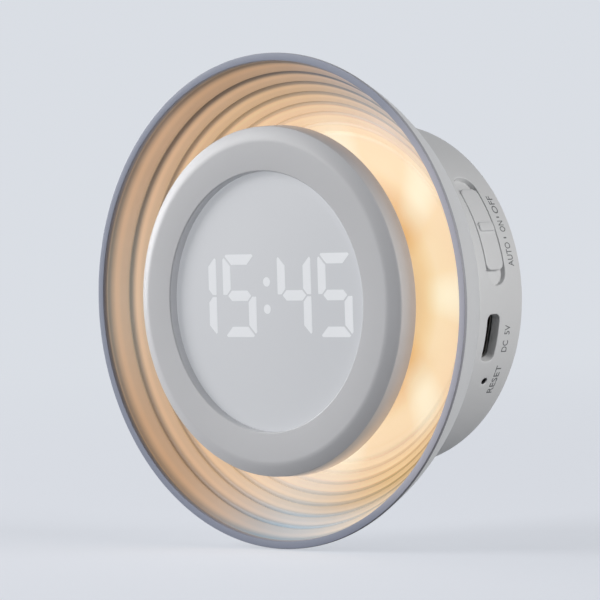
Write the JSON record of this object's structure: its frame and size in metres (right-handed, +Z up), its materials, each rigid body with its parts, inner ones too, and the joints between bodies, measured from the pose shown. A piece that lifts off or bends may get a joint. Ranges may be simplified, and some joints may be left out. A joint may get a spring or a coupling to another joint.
{
  "type": "night light clock",
  "caption": "Round wall night light: a digital clock head stands on a neck in a grooved glowing bowl, and a shallow drum behind it carries a mode slider, charging socket and reset pinhole.",
  "frame": {"origin": "centre of the rear face, on the wall", "axes": "+X to the clock's right as its display is read, +Y into the wall, +Z up; the display faces -Y"},
  "size_m": [0.1, 0.0386, 0.1],
  "materials": {
    "shell": "finely textured moulding",
    "bezel": "satin moulding",
    "window": "translucent, faintly frosted",
    "mask": "black moulding",
    "lens": "milky light guide",
    "led": "phosphor resin",
    "board": "solder mask",
    "chip": "black resin",
    "diffuser": "milky sheet",
    "ribbon": "flat flexible cable",
    "screw": "zinc plated",
    "sheet": "bright sheet steel",
    "button": "satin moulding",
    "lever": "black moulding",
    "battery": "foil pouch",
    "foam": "closed-cell foam",
    "lead": "insulated wire",
    "plug": "connector"
  },
  "bodies": {
    "case": {"reflector_bowl": "shell", "base_housing": "shell", "rear_cover": "shell", "neck": "shell", "puck_back": "shell", "bezel_ring": "bezel", "display_window": "window", "segment_mask": "mask", "segment_guides": "lens", "display_leds": "led", "light_leds": "led", "display_board": "board", "light_board": "board", "main_board": "board", "display_chip": "chip", "board_chips": "chip", "ambient_sensor": "chip", "usb_tongue": "chip", "reset_switch": "chip", "ribbon_sockets": "chip", "diffuser_ring": "diffuser", "ribbon_cable": "ribbon", "cover_screws": "screw", "neck_rear_screws": "screw", "neck_front_screws": "screw", "puck_screws": "screw", "board_screws": "screw", "usb_shell": "sheet", "mode_switch": "sheet", "button_domes": "sheet", "battery_cell": "battery", "battery_pad": "foam", "battery_leads": "lead", "battery_plug": "plug"},
    "slider": {"mode_slider": "button", "mode_switch_lever": "lever"},
    "reset": {"reset_plunger": "lever"},
    "set": {"set_button": "button"},
    "up": {"up_button": "button"},
    "down": {"down_button": "button"}
  },
  "joints": [
    {"name": "mode_slide", "type": "hinge", "parent": "case", "child": "slider", "pos_m": [0, -0.00775, 0], "axis": [0, 1, 0], "range_deg": [-3.4, 3.4]},
    {"name": "reset_press", "type": "slide", "parent": "case", "child": "reset", "axis": [-0.8695, 0, 0.4939], "range_m": [0, 0.00025], "stiffness_N_per_m": 1000, "springref_m": -0.0002},
    {"name": "set_press", "type": "slide", "parent": "case", "child": "set", "axis": [0, -1, 0], "range_m": [0, 0.0004], "stiffness_N_per_m": 1500, "springref_m": -0.0002},
    {"name": "up_press", "type": "slide", "parent": "case", "child": "up", "axis": [0, -1, 0], "range_m": [0, 0.0004], "stiffness_N_per_m": 1500, "springref_m": -0.0002},
    {"name": "down_press", "type": "slide", "parent": "case", "child": "down", "axis": [0, -1, 0], "range_m": [0, 0.0004], "stiffness_N_per_m": 1500, "springref_m": -0.0002}
  ]
}
